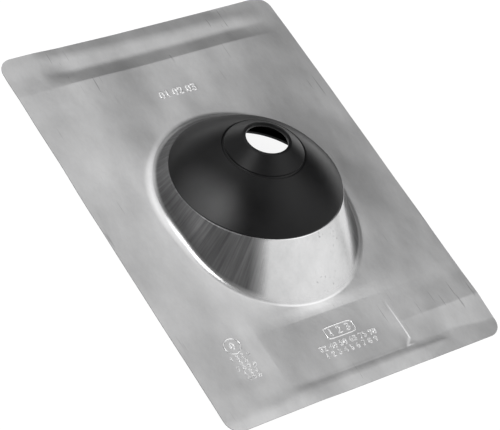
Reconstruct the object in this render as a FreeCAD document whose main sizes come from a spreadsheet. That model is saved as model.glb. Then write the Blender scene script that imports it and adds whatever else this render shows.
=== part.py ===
import FreeCAD, Part
import math
import os

import Sketcher

# A pipe flashing boot: a drawn sheet-steel base flashing and the rubber collar that snaps into it.
# Frame: origin on the ground under the middle of the apron, +Y up the roof slope, +Z up, millimetres.

os.makedirs("parts", exist_ok=True)
doc = FreeCAD.newDocument("pipe_flashing_boot")

# Driving dimensions: name, value in millimetres or degrees, meaning.
DIMENSIONS = (
    ("apron_width", 235, "apron, across the roof"),
    ("apron_length", 324, "apron, up the roof"),
    ("apron_corner", 11, "radius of the apron's corners"),
    ("gauge", 0.6, "thickness of the galvanised sheet"),
    ("stand_off", 1.2, "height of the apron's underside over the ground"),
    ("tool_depth", 20, "how far the two forming tools reach below the ground"),
    ("tool_margin", 5, "how far the lower tool reaches past the apron"),
    ("rear_foot_radius", 67.2, "boss foot, rear arc"),
    ("rear_foot_centre", 4.6, "boss foot, centre of the rear arc"),
    ("front_foot_radius", 64.5, "boss foot, front arc"),
    ("front_foot_centre", -27, "boss foot, centre of the front arc"),
    ("foot_fillet", 8, "radius where the boss runs out into the apron"),
    ("shoulder_radius", 63.2, "boss, corner between its wall and the collar seat"),
    ("shoulder_fillet", 2.5, "radius over that corner"),
    ("shoulder_upper_break", -4.4, "where the shoulder's side arcs start"),
    ("shoulder_lower_break", -29, "where the shoulder's side arcs end"),
    ("collar_tilt", 9.67, "collar's axis, leaning up the slope, degrees"),
    ("collar_forward", 3.3, "middle of the collar's rim, up the slope"),
    ("collar_height", 20.6, "middle of the collar's rim, over the apron"),
    ("flange_hole_radius", 55, "hole in the boss's flat flange"),
    ("panel_left", -57.5, "pressed panel, left edge"),
    ("panel_right", 46, "pressed panel, right edge"),
    ("panel_lower", -147, "pressed panel, lower edge"),
    ("panel_upper", -102, "pressed panel, upper edge"),
    ("panel_cut", 5.5, "pressed panel, cut-off corner"),
    ("panel_depth", 0.5, "pressed panel, depth"),
    ("rib_left", -86, "ribs, left end"),
    ("rib_right", 88, "ribs, right end"),
    ("rib_ramp", 8, "ribs, length of their end ramps"),
    ("ridge_land", 0.2, "width of a rib's ridge or valley line"),
    ("upper_fold", 128.6, "upper rib, fold where its valley starts"),
    ("upper_valley", 141.2, "upper rib, valley line"),
    ("upper_turn", 147.7, "upper rib, level line between valley and ridge"),
    ("upper_ridge", 153.2, "upper rib, ridge line"),
    ("upper_drop", 159, "upper rib, level line beyond the ridge"),
    ("valley_depth", 1.2, "upper rib, valley under the apron"),
    ("ridge_height", 1.0, "upper rib, ridge over the apron"),
    ("upper_edge_fall", 0.5, "how far the upper edge lies under the apron"),
    ("lower_fold", -128, "lower rib, fold where its valley starts"),
    ("lower_valley", -147.3, "lower rib, valley line"),
    ("lower_turn", -150, "lower rib, level line between valley and ridge"),
    ("lower_ridge", -152, "lower rib, ridge line"),
    ("lower_drop", -155.5, "lower rib, level line beyond the ridge"),
    ("lower_depth", 0.5, "lower rib, valley under the apron"),
    ("lower_height", 0.35, "lower rib, ridge over the apron"),
    ("lower_edge_fall", 0.6, "how far the lower edge lies under the apron"),
    ("rim_radius", 61.9, "collar, outer edge of the rim"),
    ("rim_edge", 0.5, "collar, top of the rim's edge over its middle"),
    ("rim_round", 0.4, "collar, radius over the rim's edge"),
    ("seat_drop", 0.4, "collar seat, below the middle of the rim"),
    ("grip_radius", 59.5, "collar, outer edge of the grip ring under the flange"),
    ("grip_thickness", 2.5, "collar, thickness of the grip ring"),
    ("grip_inner_radius", 47.7, "collar, inner edge of the grip ring"),
    ("bell_arch", 118, "collar, radius of the bell's arched section"),
    ("bell_skin", 2.4, "collar, thickness of the bell"),
    ("bell_inner_radius", 52.5, "collar, foot of the bell's inner face"),
    ("bell_inner_foot", 6.6, "collar, height where that face starts to arch"),
    ("bell_top_radius", 28.8, "collar, top of the bell's inner face"),
    ("bell_top_height", 23.0, "collar, height there"),
    ("ring_outer_radius", 29.9, "tear-out groove, outer edge"),
    ("ring_outer_height", 25.1, "tear-out groove, height there"),
    ("floor_outer_radius", 29.2, "tear-out groove, outer edge of its floor"),
    ("floor_outer_height", 24.45, "tear-out groove, height there"),
    ("floor_inner_radius", 27.9, "tear-out groove, inner edge of its floor"),
    ("floor_inner_height", 25.3, "tear-out groove, height there"),
    ("ring_inner_radius", 28.2, "tear-out groove, inner edge"),
    ("ring_inner_height", 26.2, "tear-out groove, height there"),
    ("neck_foot_radius", 26.9, "neck, foot of its inner face"),
    ("neck_foot_height", 24.45, "neck, height there"),
    ("lip_outer_radius", 17.2, "pipe lip, where the neck turns over"),
    ("lip_outer_height", 34.7, "pipe lip, height there"),
    ("lip_radius", 15, "pipe opening"),
    ("lip_height", 35.4, "pipe lip, top"),
    ("lip_length", 3, "pipe lip, depth"),
    ("lip_round", 0.5, "radius over the lip"),
    ("bead_radius", 17.6, "pipe lip, inner edge of its bead"),
    ("bead_height", 31.6, "pipe lip, height there"),
)

sheet = doc.addObject("Spreadsheet::Sheet", "dims")
for row, (alias, value, meaning) in enumerate(DIMENSIONS, start=1):
    sheet.set(f"A{row}", meaning)
    sheet.set(f"B{row}", str(value))
    sheet.setAlias(f"B{row}", alias)
doc.recompute()

X_AXIS = FreeCAD.Vector(1, 0, 0)
Z_AXIS = FreeCAD.Vector(0, 0, 1)
ORIGIN = FreeCAD.Vector(0, 0, 0)
TOUCH = 0.01  # how near a point counts as on a face or circle
WALL_SHARE = 0.75  # share of the sheet's thickness that the inner wall's radii are smaller by
# How a sketch constraint names the sketch's root, its vertical axis and the points of an edge.
ROOT_POINT = (-1, 1)
VERTICAL_AXIS = -2
START, END, CENTRE = 1, 2, 3


def measure(expression):
    """Value of a spreadsheet expression as a plain number."""
    return float(sheet.evalExpression(expression))


def sketch_on(body, name, role, height=None):
    """Empty sketch on one of the body's own origin planes, moved along the plane's normal by height."""
    plane = next(feature for feature in body.Origin.OriginFeatures if feature.Role == role)
    sketch = body.newObject("Sketcher::SketchObject", name)
    sketch.AttachmentSupport = (plane, "")
    sketch.MapMode = "FlatFace"
    if height:
        sketch.setExpression("AttachmentOffset.Base.z", height)
    return sketch


def bind(sketch, kind, references, expression):
    """Add a dimension to the sketch and bind it to a spreadsheet expression."""
    index = sketch.addConstraint(Sketcher.Constraint(kind, *references, measure(expression)))
    sketch.setExpression(f"Constraints[{index}]", expression)


def place_point(sketch, point, across, up):
    """Fix a sketch point at two spreadsheet expressions, measured from the sketch's root."""
    bind(sketch, "DistanceX", ROOT_POINT + point, across)
    bind(sketch, "DistanceY", ROOT_POINT + point, up)


def bowed_side(start, end, radius):
    """Arc from start to end that bows to the right of its way, or to the left where radius is negative."""
    chord = end - start
    arm = math.sqrt(radius ** 2 - (chord.Length / 2) ** 2)
    towards_centre = FreeCAD.Vector(-chord.y, chord.x, 0).normalize() * math.copysign(arm, radius)
    centre = (start + end) * 0.5 + towards_centre
    circle = Part.Circle(centre, Z_AXIS, abs(radius))
    first, last = (start, end) if radius > 0 else (end, start)
    first_angle = math.atan2(first.y - centre.y, first.x - centre.x)
    last_angle = math.atan2(last.y - centre.y, last.x - centre.x)
    return Part.ArcOfCircle(circle, first_angle, last_angle)


def draw_outline(sketch, corners, bows=None):
    """Closed outline through corners given as pairs of expressions, anticlockwise.

    bows maps a side's number to its radius and its bulge, 1 outwards or -1 inwards. Other sides are straight.
    """
    bows = bows or {}
    points = [FreeCAD.Vector(measure(across), measure(up), 0) for across, up in corners]
    count = len(points)
    ends = []
    for side in range(count):
        start = points[side]
        end = points[(side + 1) % count]
        radius, bulge = bows.get(side, (None, 1))
        if radius is None:
            sketch.addGeometry(Part.LineSegment(start, end), False)
        else:
            sketch.addGeometry(bowed_side(start, end, bulge * measure(radius)), False)
        ends.append((START, END) if bulge > 0 else (END, START))
    for side in range(count):
        following = (side + 1) % count
        meeting = (side, ends[side][1], following, ends[following][0])
        sketch.addConstraint(Sketcher.Constraint("Coincident", *meeting))
    for side, (across, up) in enumerate(corners):
        place_point(sketch, (side, ends[side][0]), across, up)
    for side, (radius, _) in bows.items():
        bind(sketch, "Radius", (side,), radius)


def draw_foot(sketch, allowance):
    """Egg-shaped foot of the boss: a rear and a front arc joined by straight tangents.

    allowance is taken off both radii.
    """
    radii = [measure(f"dims.{end}_foot_radius - {allowance}") for end in ("rear", "front")]
    centres = [FreeCAD.Vector(0, measure(f"dims.{end}_foot_centre"), 0) for end in ("rear", "front")]
    lean = math.asin((radii[0] - radii[1]) / (centres[0] - centres[1]).Length)
    rear_circle = Part.Circle(centres[0], Z_AXIS, radii[0])
    front_circle = Part.Circle(centres[1], Z_AXIS, radii[1])
    rear = Part.ArcOfCircle(rear_circle, -lean, math.pi + lean)
    front = Part.ArcOfCircle(front_circle, math.pi + lean, math.tau - lean)
    sketch.addGeometry(rear, False)
    sketch.addGeometry(Part.LineSegment(rear.EndPoint, front.StartPoint), False)
    sketch.addGeometry(front, False)
    sketch.addGeometry(Part.LineSegment(front.EndPoint, rear.StartPoint), False)
    for side in range(4):
        sketch.addConstraint(Sketcher.Constraint("Tangent", side, END, (side + 1) % 4, START))
    for arc, end in ((0, "rear"), (2, "front")):
        sketch.addConstraint(Sketcher.Constraint("PointOnObject", arc, CENTRE, VERTICAL_AXIS))
        bind(sketch, "DistanceY", ROOT_POINT + (arc, CENTRE), f"dims.{end}_foot_centre")
        bind(sketch, "Radius", (arc,), f"dims.{end}_foot_radius - {allowance}")


def draw_shoulder(sketch, allowance):
    """Circle of the boss's shoulder, in four arcs that pair with the four sides of the foot.

    allowance is taken off its radius.
    """
    radius_expression = f"dims.shoulder_radius - {allowance}"
    radius = measure(radius_expression)
    circle = Part.Circle(ORIGIN, Z_AXIS, radius)
    upper = math.asin(measure("dims.shoulder_upper_break") / radius)
    lower = math.asin(measure("dims.shoulder_lower_break") / radius)
    breaks = (upper, math.pi - upper, math.pi - lower, math.tau + lower)
    for side in range(4):
        end = breaks[(side + 1) % 4]
        if side == 3:
            end += math.tau
        sketch.addGeometry(Part.ArcOfCircle(circle, breaks[side], end), False)
    for side in range(4):
        sketch.addConstraint(Sketcher.Constraint("Coincident", side, END, (side + 1) % 4, START))
    for side in range(3):
        sketch.addConstraint(Sketcher.Constraint("Coincident", side, CENTRE, *ROOT_POINT))
    sketch.addConstraint(Sketcher.Constraint("Equal", 0, 3))
    sketch.addConstraint(Sketcher.Constraint("Horizontal", 0, START, 0, END))
    sketch.addConstraint(Sketcher.Constraint("Horizontal", 2, START, 2, END))
    bind(sketch, "DistanceY", ROOT_POINT + (0, START), "dims.shoulder_upper_break")
    bind(sketch, "DistanceY", ROOT_POINT + (2, START), "dims.shoulder_lower_break")
    bind(sketch, "Radius", (0,), radius_expression)


def box_corners(left, right, lower, upper):
    """Corners of a rectangle, anticlockwise, as pairs of expressions."""
    return ((left, lower), (right, lower), (right, upper), (left, upper))


def loft_between(body, kind, name, lower_sketch, upper_sketch):
    """Additive or subtractive loft with straight generators."""
    loft = body.newObject(f"PartDesign::{kind}Loft", name)
    loft.Profile = lower_sketch
    loft.Sections = [upper_sketch]
    loft.Ruled = True
    return loft


def hipped_form(body, kind, name, level, rise, outline, line_position):
    """Hip-roof shape that stands on, or is sunk into, the apron: a rectangle lofted to a narrow line.

    outline is (lower, upper), its two long edges; line_position is where the ridge or valley line runs.
    """
    base = sketch_on(body, f"{name}_outline", "XY_Plane", level)
    draw_outline(base, box_corners("dims.rib_left", "dims.rib_right", *outline))
    line = sketch_on(body, f"{name}_line", "XY_Plane", f"{level} + {rise}")
    left = "dims.rib_left + dims.rib_ramp"
    right = "dims.rib_right - dims.rib_ramp"
    near = f"{line_position} - dims.ridge_land / 2"
    far = f"{line_position} + dims.ridge_land / 2"
    draw_outline(line, box_corners(left, right, near, far))
    return loft_between(body, kind, name, base, line)


def edges_at(shape, on_level):
    """Names of the edges whose two ends and middle all satisfy on_level."""
    names = []
    for number, edge in enumerate(shape.Edges, start=1):
        middle = edge.valueAt((edge.FirstParameter + edge.LastParameter) / 2)
        samples = [vertex.Point for vertex in edge.Vertexes] + [middle]
        if all(on_level(point) for point in samples):
            names.append(f"Edge{number}")
    return names


def round_edges(body, name, on_level, radius):
    """Fillet over the edges of the body's newest feature that satisfy on_level."""
    doc.recompute()
    base = body.Tip
    names = edges_at(base.Shape, on_level)
    if not names:
        raise RuntimeError(f"{name}: no edges found")
    fillet = body.newObject("PartDesign::Fillet", name)
    fillet.Base = (base, names)
    fillet.setExpression("Radius", radius)
    return fillet


def circle_test(radius, height):
    """Test for points on the level circle of that radius and height about Z."""
    return lambda point: abs(math.hypot(point.x, point.y) - radius) < TOUCH and abs(point.z - height) < TOUCH


def collar_frame(drop):
    """Placement of the collar's own axes, drop millimetres down its axis from the middle of the rim."""
    tilt = FreeCAD.Rotation(X_AXIS, -measure("dims.collar_tilt"))
    rim_height = measure("dims.stand_off + dims.gauge + dims.collar_height")
    rim_middle = FreeCAD.Vector(0, measure("dims.collar_forward"), rim_height)
    return FreeCAD.Placement(rim_middle - tilt.multVec(Z_AXIS) * drop, tilt)


def forming_tool(name, inset, margin):
    """Solid with the sheet's relief on top. inset is how far that face lies inside the sheet's upper face.

    The boss is lofted from its foot to the tilted shoulder and rounded at both; then the panel and the
    two ribs are pressed in.
    """
    body = doc.addObject("PartDesign::Body", name)
    level = f"dims.stand_off + dims.gauge - {inset}"
    half_width = f"(dims.apron_width / 2 + {margin})"
    half_length = f"(dims.apron_length / 2 + {margin})"
    middle_width = measure(half_width) / 2
    middle_length = measure(half_length) / 2
    corners = box_corners(f"-{half_width}", half_width, f"-{half_length}", half_length)
    block_outline = sketch_on(body, f"{name}_block_outline", "XY_Plane", level)
    draw_outline(block_outline, corners)
    block = body.newObject("PartDesign::Pad", f"{name}_block")
    block.Profile = block_outline
    block.setExpression("Length", f"dims.tool_depth + {margin} + {level}")
    block.Reversed = True
    round_edges(body, f"{name}_corners",
                lambda point: abs(point.x) > middle_width and abs(point.y) > middle_length,
                "dims.apron_corner")

    level_value = measure(level)
    wall_allowance = f"{inset} * {WALL_SHARE}"
    foot = sketch_on(body, f"{name}_foot", "XY_Plane", level)
    draw_foot(foot, wall_allowance)
    shoulder = sketch_on(body, f"{name}_shoulder", "XY_Plane")
    draw_shoulder(shoulder, wall_allowance)
    shoulder_frame = collar_frame(measure(f"dims.seat_drop + {inset}"))
    shoulder.AttachmentOffset = shoulder_frame
    loft_between(body, "Additive", f"{name}_boss", foot, shoulder)

    reach = measure("dims.rear_foot_radius - dims.front_foot_centre")
    to_shoulder = shoulder_frame.inverse()
    round_edges(body, f"{name}_foot_fillet",
                lambda point: abs(point.z - level_value) < TOUCH and math.hypot(point.x, point.y) < reach,
                f"dims.foot_fillet + {inset}")
    round_edges(body, f"{name}_shoulder_fillet",
                lambda point: abs(to_shoulder.multVec(point).z) < TOUCH,
                f"dims.shoulder_fillet - {inset}")

    panel = sketch_on(body, f"{name}_panel_outline", "XY_Plane", level)
    draw_outline(panel, (("dims.panel_left", "dims.panel_lower"),
                         ("dims.panel_right - dims.panel_cut", "dims.panel_lower"),
                         ("dims.panel_right", "dims.panel_lower + dims.panel_cut"),
                         ("dims.panel_right", "dims.panel_upper"),
                         ("dims.panel_left", "dims.panel_upper")))
    pocket = body.newObject("PartDesign::Pocket", f"{name}_panel")
    pocket.Profile = panel
    pocket.setExpression("Length", "dims.panel_depth")

    hipped_form(body, "Subtractive", f"{name}_upper_valley", level, "-dims.valley_depth",
                ("dims.upper_fold", "dims.upper_turn"), "dims.upper_valley")
    hipped_form(body, "Additive", f"{name}_upper_ridge", level, "dims.ridge_height",
                ("dims.upper_turn", "dims.upper_drop"), "dims.upper_ridge")
    hipped_form(body, "Subtractive", f"{name}_lower_valley", level, "-dims.lower_depth",
                ("dims.lower_turn", "dims.lower_fold"), "dims.lower_valley")
    hipped_form(body, "Additive", f"{name}_lower_ridge", level, "dims.lower_height",
                ("dims.lower_drop", "dims.lower_turn"), "dims.lower_ridge")
    hipped_form(body, "Subtractive", f"{name}_upper_edge", level, "-dims.upper_edge_fall * 2",
                ("dims.upper_drop", "dims.apron_length * 1.5 - dims.upper_drop * 2"),
                "dims.apron_length - dims.upper_drop")
    hipped_form(body, "Subtractive", f"{name}_lower_edge", level, "-dims.lower_edge_fall * 2",
                ("-dims.apron_length * 1.5 - dims.lower_drop * 2", "dims.lower_drop"),
                "-dims.apron_length - dims.lower_drop")
    doc.recompute()
    return body


# Base flashing: the sheet between the faces of the two forming tools, with the collar's hole cut in it.
upper_tool = forming_tool("upper_tool", "0", "0")
lower_tool = forming_tool("lower_tool", "dims.gauge", "dims.tool_margin")
pressed_sheet = doc.addObject("Part::Cut", "pressed_sheet")
pressed_sheet.Base = upper_tool
pressed_sheet.Tool = lower_tool
flange_hole = doc.addObject("Part::Cylinder", "flange_hole")
flange_hole.setExpression("Radius", "dims.flange_hole_radius")
flange_hole.setExpression("Height", "dims.gauge * 3")
flange_hole.Placement = collar_frame(measure("dims.seat_drop + dims.gauge * 2"))
base_flashing = doc.addObject("Part::Cut", "base_flashing")
base_flashing.Base = pressed_sheet
base_flashing.Tool = flange_hole
base_flashing.Label = "base_flashing"

# Pipe collar: one rubber moulding, turned about the tilted axis. Its section runs from the inside of its foot
# round the grip ring, the groove that holds the sheet, the rim, the bell, the tear-out groove, the neck and
# the lip, and back down the inner faces.
seat = "-dims.seat_drop"
flange_under = "-dims.seat_drop - dims.gauge"
grip_under = "-dims.seat_drop - dims.gauge - dims.grip_thickness"
COLLAR_SECTION = (
    ("dims.grip_inner_radius", grip_under),
    ("dims.grip_radius", grip_under),
    ("dims.grip_radius", flange_under),
    ("dims.flange_hole_radius", flange_under),
    ("dims.flange_hole_radius", seat),
    ("dims.rim_radius", seat),
    ("dims.rim_radius", "dims.rim_edge"),
    ("dims.ring_outer_radius", "dims.ring_outer_height"),
    ("dims.floor_outer_radius", "dims.floor_outer_height"),
    ("dims.floor_inner_radius", "dims.floor_inner_height"),
    ("dims.ring_inner_radius", "dims.ring_inner_height"),
    ("dims.lip_outer_radius", "dims.lip_outer_height"),
    ("dims.lip_radius", "dims.lip_height"),
    ("dims.lip_radius", "dims.lip_height - dims.lip_length"),
    ("dims.bead_radius", "dims.bead_height"),
    ("dims.neck_foot_radius", "dims.neck_foot_height"),
    ("dims.bell_top_radius", "dims.bell_top_height"),
    ("dims.bell_inner_radius", "dims.bell_inner_foot"),
    ("dims.bell_inner_radius", flange_under),
    ("dims.grip_inner_radius", flange_under),
)
OUTER_BELL_SIDE = 6
INNER_BELL_SIDE = 16
COLLAR_BOWS = {
    OUTER_BELL_SIDE: ("dims.bell_arch", 1),
    INNER_BELL_SIDE: ("dims.bell_arch - dims.bell_skin", -1),
}
pipe_collar = doc.addObject("PartDesign::Body", "pipe_collar")
collar_section = sketch_on(pipe_collar, "collar_section", "XZ_Plane")
draw_outline(collar_section, COLLAR_SECTION, COLLAR_BOWS)
turned_collar = pipe_collar.newObject("PartDesign::Revolution", "turned_collar")
turned_collar.Profile = collar_section
turned_collar.ReferenceAxis = (collar_section, ["V_Axis"])
turned_collar.Angle = 360
rim_test = circle_test(measure("dims.rim_radius"), measure("dims.rim_edge"))
round_edges(pipe_collar, "rim_rounding", rim_test, "dims.rim_round")
lip_test = circle_test(measure("dims.lip_radius"), measure("dims.lip_height"))
round_edges(pipe_collar, "lip_rounding", lip_test, "dims.lip_round")
doc.recompute()
pipe_collar.Placement = collar_frame(0)
pipe_collar.Label = "pipe_collar"
doc.recompute()

for item in doc.Objects:
    if "Invalid" in item.State or "Error" in item.State:
        raise RuntimeError(f"{item.Name}: {item.State}")

for part in (base_flashing, pipe_collar):
    if part.Shape.isNull() or not part.Shape.isValid():
        raise RuntimeError(f"{part.Label}: no valid shape")
    part.Shape.exportStep(f"parts/{part.Label}.step")
    print(part.Label, len(part.Shape.Solids), round(part.Shape.Volume / 1000, 2), "cm3", part.Shape.BoundBox)
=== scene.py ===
import math

import bpy
import numpy as np
from mathutils import Matrix, Vector


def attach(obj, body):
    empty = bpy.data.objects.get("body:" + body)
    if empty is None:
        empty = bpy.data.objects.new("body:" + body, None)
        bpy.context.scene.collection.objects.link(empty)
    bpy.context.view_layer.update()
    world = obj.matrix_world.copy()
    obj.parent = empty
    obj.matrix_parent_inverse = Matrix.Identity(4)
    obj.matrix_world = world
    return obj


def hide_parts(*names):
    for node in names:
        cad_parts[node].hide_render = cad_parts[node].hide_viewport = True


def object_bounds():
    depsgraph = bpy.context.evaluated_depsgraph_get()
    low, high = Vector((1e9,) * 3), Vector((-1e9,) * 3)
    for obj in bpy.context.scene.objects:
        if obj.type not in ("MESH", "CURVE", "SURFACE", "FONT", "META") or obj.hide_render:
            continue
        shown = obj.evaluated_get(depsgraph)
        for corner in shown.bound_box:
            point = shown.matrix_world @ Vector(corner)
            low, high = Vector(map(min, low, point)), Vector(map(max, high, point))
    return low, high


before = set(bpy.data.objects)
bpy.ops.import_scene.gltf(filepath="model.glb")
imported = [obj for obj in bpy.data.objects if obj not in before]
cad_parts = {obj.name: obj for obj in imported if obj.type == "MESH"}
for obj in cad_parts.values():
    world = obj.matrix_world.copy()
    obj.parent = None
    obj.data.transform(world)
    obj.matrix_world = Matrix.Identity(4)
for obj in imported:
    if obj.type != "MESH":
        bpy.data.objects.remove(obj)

cad_low, cad_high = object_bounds()

# ---------------------------------------------------------------------------------------------------------
# The base flashing: one sheet of galvanised steel, cut with rounded corners and pressed in a die. It has a
# tilted, round-topped boss for the pipe, a rib along each end, and a shallow panel in front of the boss.
# ---------------------------------------------------------------------------------------------------------

MM = 0.001
GAUGE = 0.6
UPPER_FACE = 1.8
HALF_WIDTH = cad_high[0] / MM
HALF_LENGTH = cad_high[1] / MM
CORNER = 11.0

COLLAR_TILT = math.radians(9.67)
RIM_FORWARD = 3.3
RIM_HEIGHT = UPPER_FACE + 20.6
SEAT_DROP = 0.4
HOLE_RADIUS = 55.0
SHOULDER_RADIUS = 62.5
SHOULDER_ROUND = 1.3
REAR_FOOT = (67.2, 4.6)
FRONT_FOOT = (66.8, -27.0)
REAR_FOOT_ROUND = 10.0
FRONT_FOOT_ROUND = 5.0
RUN_SLOPE_REACH = 7.0
POLE = -8.0


def smooth_step(value, start, end):
    """0 before start, 1 after end, and 3t^2 - 2t^3 between them."""
    t = np.clip((value - start) / (end - start), 0.0, 1.0)
    return t * t * (3.0 - 2.0 * t)


def smooth_fall(value, start, end):
    """1 before start, 0 after end: what the smooth step leaves of 1."""
    return 1.0 - smooth_step(value, start, end)


def window(value, start, end, soft_start, soft_end):
    """1 from start to end, with smooth steps of those widths outside each end."""
    return smooth_step(value, start - soft_start, start) * smooth_fall(value, end, end + soft_end)


def soft_ramp(value, start, width):
    """value - start where that is positive, rounded by the parabola width (t + 1)^2 / 4 about the start."""
    t = np.clip((value - start) / width, -1.0, 1.0)
    return np.where(t < 1.0, width * (t + 1.0) ** 2 / 4.0, value - start)


def held_ramp(value, start, end, soft_start, soft_end):
    """0 before start, value - start up to end, and held from there on, rounded at both like soft_ramp."""
    return soft_ramp(value, start, soft_start) - soft_ramp(value, end, soft_end)


def foot_radius(angle):
    """Distance from the pole to the boss's egg-shaped foot, along rays at that angle.

    The egg is the outline round two circles: points go round it by the direction they face, and their own
    directions from the pole say which ray each one is on.
    """
    facing = np.linspace(-math.pi, math.pi, 1441)
    lean = math.asin((REAR_FOOT[0] - FRONT_FOOT[0]) / (REAR_FOOT[1] - FRONT_FOOT[1]))
    rear = np.sin(facing) > -math.sin(lean)
    radius = np.where(rear, REAR_FOOT[0], FRONT_FOOT[0])
    centre = np.where(rear, REAR_FOOT[1], FRONT_FOOT[1])
    x = radius * np.cos(facing)
    y = centre + radius * np.sin(facing) - POLE
    finer = np.arange(0.0, len(facing) - 1, 0.125)
    dense_x = np.interp(finer, np.arange(len(facing)), x)
    dense_y = np.interp(finer, np.arange(len(facing)), y)
    return np.interp(angle, np.arctan2(dense_y, dense_x), np.hypot(dense_x, dense_y), period=math.tau)


def ring_radius(angle, radius, drop):
    """Distance from the pole to a circle about the collar's axis, drop below the rim, seen from above.

    The tilt makes the circle an ellipse, and the ray meets it at the larger root of a quadratic.
    """
    squash = math.cos(COLLAR_TILT)
    middle = RIM_FORWARD - drop * math.sin(COLLAR_TILT) - POLE
    along = np.sin(angle) / squash
    a = np.cos(angle) ** 2 + along ** 2
    b = -2.0 * along * middle / squash
    c = (middle / squash) ** 2 - radius ** 2
    return (-b + np.sqrt(b * b - 4.0 * a * c)) / (2.0 * a)


def seat_height(y, drop):
    """Height of the plane across the collar's axis, drop below the rim, at y."""
    middle_y = RIM_FORWARD - drop * math.sin(COLLAR_TILT)
    middle_z = RIM_HEIGHT - drop * math.cos(COLLAR_TILT)
    return middle_z - (y - middle_y) * math.tan(COLLAR_TILT)


UPPER_FOLD = 128.6
UPPER_VALLEY = 140.2
UPPER_RIDGE = 152.2
RIDGE_SKEW = 0.026
RISE_SLOPE = 0.043
FOLD_TURN = 0.182
VALLEY_TURN = 0.308
RIDGE_TURN = 0.235
MARGIN_SINK = 0.60
CRISP = 0.4


def upper_rib(x, y):
    """The rib along the upper end: a slight rise to a crisp fold, a flank down to a valley, a flank up to a
    soft ridge, and a fall to the edge. It fades out to the right, and to the left it gives way to a margin
    that only sinks a little. Each turn is a change of slope, made by a soft ramp."""
    ridge = UPPER_RIDGE - RIDGE_SKEW * (x + 20.0)
    rise = RISE_SLOPE * held_ramp(y, 106.0, UPPER_FOLD, 6.0, CRISP) * smooth_fall(x, 60.0, 112.0)
    valley = VALLEY_TURN * soft_ramp(y, UPPER_VALLEY, 2.2) - FOLD_TURN * soft_ramp(y, UPPER_FOLD, CRISP)
    crest = -RIDGE_TURN * soft_ramp(y, ridge, 3.6)
    folded = valley * smooth_fall(x, 70.0, 112.0) + crest * smooth_fall(x, 66.0, 112.0)
    margin = -MARGIN_SINK * window(y, 140.0, 142.0, 28.0, 16.0)
    return rise + margin + (folded - margin) * smooth_step(x, -92.0, -64.0)


PANEL_LEFT = (-62.0, 2.0)
PANEL_RIGHT = 46.0
PANEL_TOP = -102.0
PANEL_FOOT = -147.0
PANEL_CUT = 5.5
PANEL_DEPTH = 0.5
SIDE_STEP = 0.3
CUT_STEP = 0.8
FOOT_STEP = 0.4

LOWER_FOLD = 128.0
FALL_SLOPE = 0.072
LIFT_SLOPE = 0.030
SOFT_FALL_SLOPE = 0.020
STEEP_SLOPE = 0.135
GENTLE_SLOPE = 0.085
THIN_SLOPE = 0.090
EDGE_SLOPE = 0.090
EDGE_SLOPE_LOST = 0.025


def lower_rib(x, y):
    """The rib along the lower end: the apron falls a little towards it, rises steeply to a ridge and falls
    to the edge. Its left third is wider and softer, and its right end is thin."""
    down = -y
    soft = smooth_fall(x, -52.0, -34.0)
    right = 0.6 * smooth_step(x, 36.0, 50.0) + 0.4 * smooth_step(x, 56.0, 74.0)
    fall_end = 147.0 + 3.0 * smooth_step(x, 62.0, 90.0)
    fall = FALL_SLOPE * right * held_ramp(down, LOWER_FOLD, fall_end, CRISP, 0.8)
    fall = fall - LIFT_SLOPE * right * held_ramp(down, 108.0, LOWER_FOLD, 2.0, CRISP)
    fall = fall + SOFT_FALL_SLOPE * soft * held_ramp(down, 134.0, 147.0, 4.0, 3.5)
    past_panel = smooth_fall(y, PANEL_FOOT - FOOT_STEP, PANEL_FOOT + FOOT_STEP)
    fall = fall + PANEL_DEPTH * past_panel * smooth_step(x, *PANEL_LEFT) * smooth_fall(x, 36.0, 50.0)
    steep = STEEP_SLOPE * held_ramp(down, 146.2, 151.2, 1.3, 1.9) * window(x, -42.0, 34.0, 30.0, 30.0)
    gentle = GENTLE_SLOPE * held_ramp(down, 147.0, 155.0, 3.0, 3.2) * window(x, -76.0, -50.0, 26.0, 34.0)
    thin = THIN_SLOPE * held_ramp(down, 149.6, 151.6, 0.6, 0.8) * window(x, 52.0, 70.0, 20.0, 12.0)
    ridge = 151.4 + 2.6 * soft
    edge_slope = EDGE_SLOPE - EDGE_SLOPE_LOST * smooth_step(x, 56.0, 84.0)
    return steep + gentle + thin - fall - edge_slope * soft_ramp(down, ridge, 2.0)


def panel_press(x, y):
    """The flat recess in front of the boss: the apron dips into its rear edge along a parabola, longer to
    the right. Its right side, cut corner and foot are small steps, and its left side runs out."""
    reach = 11.0 + 38.0 * smooth_step(x, 20.0, 60.0)
    dip = np.clip((PANEL_TOP + reach - y) / reach, 0.0, 1.0) ** 2
    near = smooth_fall(x, 48.0, 84.0)
    beyond = dip * (1.0 - 0.18 * smooth_step(-y, 108.0, 118.0) - 0.6 * near * smooth_step(-y, 118.0, 144.0))
    beyond = beyond * (1.0 - 0.8 * smooth_step(x, 78.0, 118.0))
    cut = (x - PANEL_RIGHT + PANEL_CUT + PANEL_FOOT - y) / math.sqrt(2.0)
    inside = smooth_fall(x, PANEL_RIGHT - SIDE_STEP, PANEL_RIGHT + SIDE_STEP)
    inside = inside * smooth_fall(cut, -CUT_STEP, CUT_STEP)
    inside = inside * smooth_step(y, PANEL_FOOT - FOOT_STEP, PANEL_FOOT + FOOT_STEP)
    return -PANEL_DEPTH * smooth_step(x, *PANEL_LEFT) * (dip * inside + beyond * (1.0 - inside))


SIDE_DEPTH = 0.40


def side_press(x, y):
    """The shallow rectangle to the left of the panel, with a ramp up from its right side."""
    across = smooth_step(x, -121.0, -84.0) * (1.0 - np.clip((x + 71.0) / 11.5, 0.0, 1.0))
    return -SIDE_DEPTH * across * window(y, -126.0, -98.0, 12.0, 22.0)


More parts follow.
